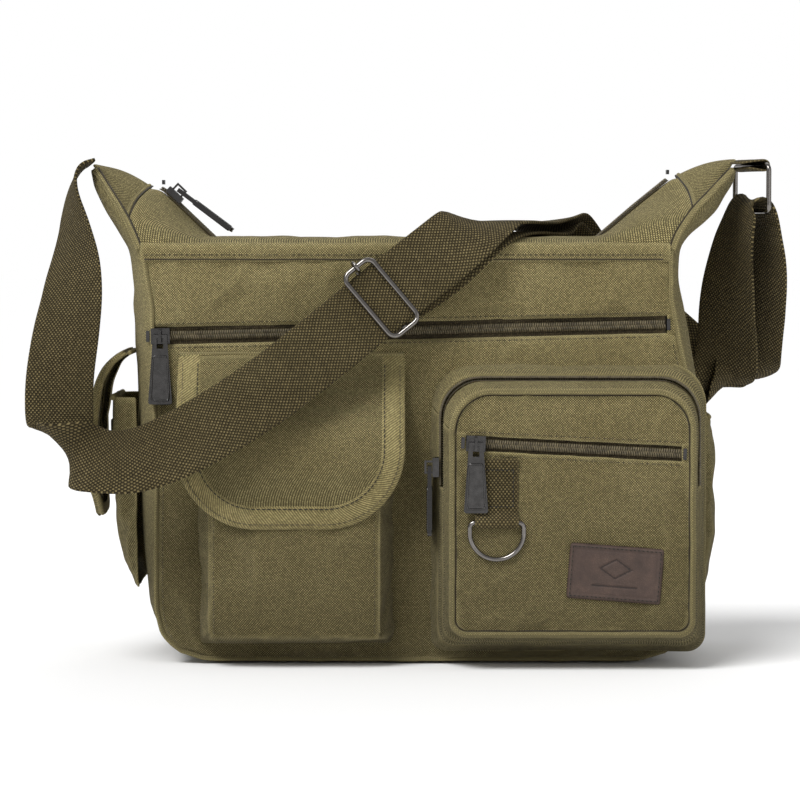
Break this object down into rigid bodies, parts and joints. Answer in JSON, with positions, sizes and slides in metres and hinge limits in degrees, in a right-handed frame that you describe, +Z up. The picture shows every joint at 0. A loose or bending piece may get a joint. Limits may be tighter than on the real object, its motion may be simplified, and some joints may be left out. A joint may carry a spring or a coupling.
{
  "type": "messenger bag",
  "caption": "Canvas shoulder bag with a zipped top, zipped front pockets, flapped pockets, a D-ring tab and an adjustable webbing strap.",
  "frame": {"origin": "centre of the base, on the surface it stands on", "axes": "+Z up, the front of the bag faces -Y, +X to the right seen from the front"},
  "size_m": [0.4481, 0.1695, 0.2934],
  "materials": {
    "canvas": "washed olive canvas, plain weave",
    "binding_tape": "olive herringbone tape",
    "lining_cloth": "plain brown lining cloth",
    "hook_and_loop": "hook and loop tape",
    "strap_webbing": "thick olive-brown cotton webbing",
    "zip_tape": "woven zip tape",
    "zip_coil": "moulded nylon coil",
    "gunmetal": "dark polished gunmetal plating",
    "patch_leather": "dark brown grained leather"
  },
  "bodies": {
    "bag": {"back_panel": "canvas", "back_welt": "canvas", "bottom_panel": "canvas", "cargo_loop_tape": "hook_and_loop", "cargo_pocket": "canvas", "corner_zip_coil": "zip_coil", "corner_zip_tape": "zip_tape", "dring_tab": "strap_webbing", "front_panel_lower": "canvas", "front_panel_upper": "canvas", "front_pocket_bag": "lining_cloth", "front_welt": "canvas", "front_zip_coil": "zip_coil", "front_zip_tape": "zip_tape", "leather_patch": "patch_leather", "left_ear_cap": "canvas", "left_gusset": "canvas", "lining": "lining_cloth", "main_zip_coil": "zip_coil", "main_zip_tape": "zip_tape", "organiser_back": "canvas", "organiser_divider": "lining_cloth", "organiser_front_lower": "canvas", "organiser_front_upper": "canvas", "organiser_piping": "canvas", "organiser_zip_coil": "zip_coil", "organiser_zip_tape": "zip_tape", "right_ear_cap": "canvas", "right_gusset": "canvas", "ring_loop": "strap_webbing", "side_loop_tape": "hook_and_loop", "side_pocket": "canvas", "slip_pocket": "canvas", "strap_back": "strap_webbing", "strap_return": "strap_webbing", "strap_ring_loop": "strap_webbing", "top_facing_back": "canvas", "top_facing_front": "canvas", "zip_stops": "gunmetal"},
    "strap_sling": {"strap_front": "strap_webbing"},
    "adjuster": {"adjuster_frame": "gunmetal", "adjuster_bar": "gunmetal", "adjuster_tail": "strap_webbing"},
    "cargo_flap_body": {"cargo_flap": "canvas", "cargo_flap_binding": "binding_tape", "cargo_hook_tape": "hook_and_loop"},
    "side_flap_body": {"side_flap": "canvas", "side_flap_binding": "binding_tape", "side_hook_tape": "hook_and_loop"},
    "d_ring_body": {"d_ring": "gunmetal"},
    "strap_ring_body": {"strap_ring": "gunmetal"},
    "main_zip_slider_body": {"main_zip_slider": "gunmetal"},
    "main_zip_pull_body": {"main_zip_pull": "gunmetal"},
    "front_zip_slider_body": {"front_zip_slider": "gunmetal"},
    "front_zip_pull_body": {"front_zip_pull": "gunmetal"},
    "organiser_zip_slider_body": {"organiser_zip_slider": "gunmetal"},
    "organiser_zip_pull_body": {"organiser_zip_pull": "gunmetal"},
    "corner_zip_slider_body": {"corner_zip_slider": "gunmetal"},
    "corner_zip_pull_body": {"corner_zip_pull": "gunmetal"}
  },
  "joints": [
    {"name": "strap_swing", "type": "hinge", "parent": "bag", "child": "strap_sling", "pos_m": [0.038, -0.039, 0.253], "axis": [-0.9793, 0.1281, 0.157], "range_deg": [0, 120], "deforming": ["strap_front", "strap_back", "strap_return"]},
    {"name": "cargo_flap_hinge", "type": "hinge", "parent": "bag", "child": "cargo_flap_body", "pos_m": [-0.079, -0.0574, 0.18], "axis": [-1, 0, 0], "range_deg": [0, 120]},
    {"name": "side_flap_hinge", "type": "hinge", "parent": "bag", "child": "side_flap_body", "pos_m": [-0.1764, 0, 0.18], "axis": [0, 1, 0], "range_deg": [0, 95]},
    {"name": "adjuster_slide", "type": "slide", "parent": "strap_sling", "child": "adjuster", "axis": [0.7661, 0.1857, 0.6152], "range_m": [-0.03, 0.018]},
    {"name": "strap_ring_swing", "type": "hinge", "parent": "bag", "child": "strap_ring_body", "pos_m": [0.192, -0.008, 0.2895], "axis": [0.342, -0.9397, 0], "range_deg": [-12, 12], "deforming": ["strap_ring_loop"]},
    {"name": "d_ring_swing", "type": "hinge", "parent": "bag", "child": "d_ring_body", "pos_m": [0.039, -0.091, 0.085], "axis": [-1, 0, 0], "range_deg": [0, 125]},
    {"name": "front_zip_slide", "type": "slide", "parent": "bag", "child": "front_zip_slider_body", "axis": [0.9997, 0, 0.0227], "range_m": [0, 0.027]},
    {"name": "front_zip_pull_swing", "type": "hinge", "parent": "front_zip_slider_body", "child": "front_zip_pull_body", "pos_m": [-0.15496, -0.0579, 0.19024], "axis": [-1, 0, 0], "range_deg": [0, 163]},
    {"name": "organiser_zip_slide", "type": "slide", "parent": "bag", "child": "organiser_zip_slider_body", "axis": [0.9987, 0, -0.0506], "range_m": [0, 0.106]},
    {"name": "organiser_zip_pull_swing", "type": "hinge", "parent": "organiser_zip_slider_body", "child": "organiser_zip_pull_body", "pos_m": [0.02707, -0.0919, 0.13003], "axis": [-1, 0, 0], "range_deg": [0, 150]},
    {"name": "corner_zip_slide", "type": "slide", "parent": "bag", "child": "corner_zip_slider_body", "axis": [0, 0, 1], "range_m": [0, 0.024]},
    {"name": "corner_zip_pull_swing", "type": "hinge", "parent": "corner_zip_slider_body", "child": "corner_zip_pull_body", "pos_m": [0.00075, -0.072, 0.1155], "axis": [0, 1, 0], "range_deg": [0, 12]},
    {"name": "main_zip_slide", "type": "slide", "parent": "bag", "child": "main_zip_slider_body", "axis": [0.7229, 0, -0.691], "range_m": [0, 0.027]},
    {"name": "main_zip_pull_swing", "type": "hinge", "parent": "main_zip_slider_body", "child": "main_zip_pull_body", "pos_m": [-0.14681, -0.008, 0.27481], "axis": [0, -1, 0], "range_deg": [0, 60]}
  ],
  "couplings": [
    {"joint": "cargo_flap_hinge", "follows": "strap_swing", "ratio": 1},
    {"joint": "front_zip_pull_swing", "follows": "front_zip_slide", "rad_per_m": 105},
    {"joint": "main_zip_pull_swing", "follows": "main_zip_slide", "rad_per_m": 37.4}
  ]
}
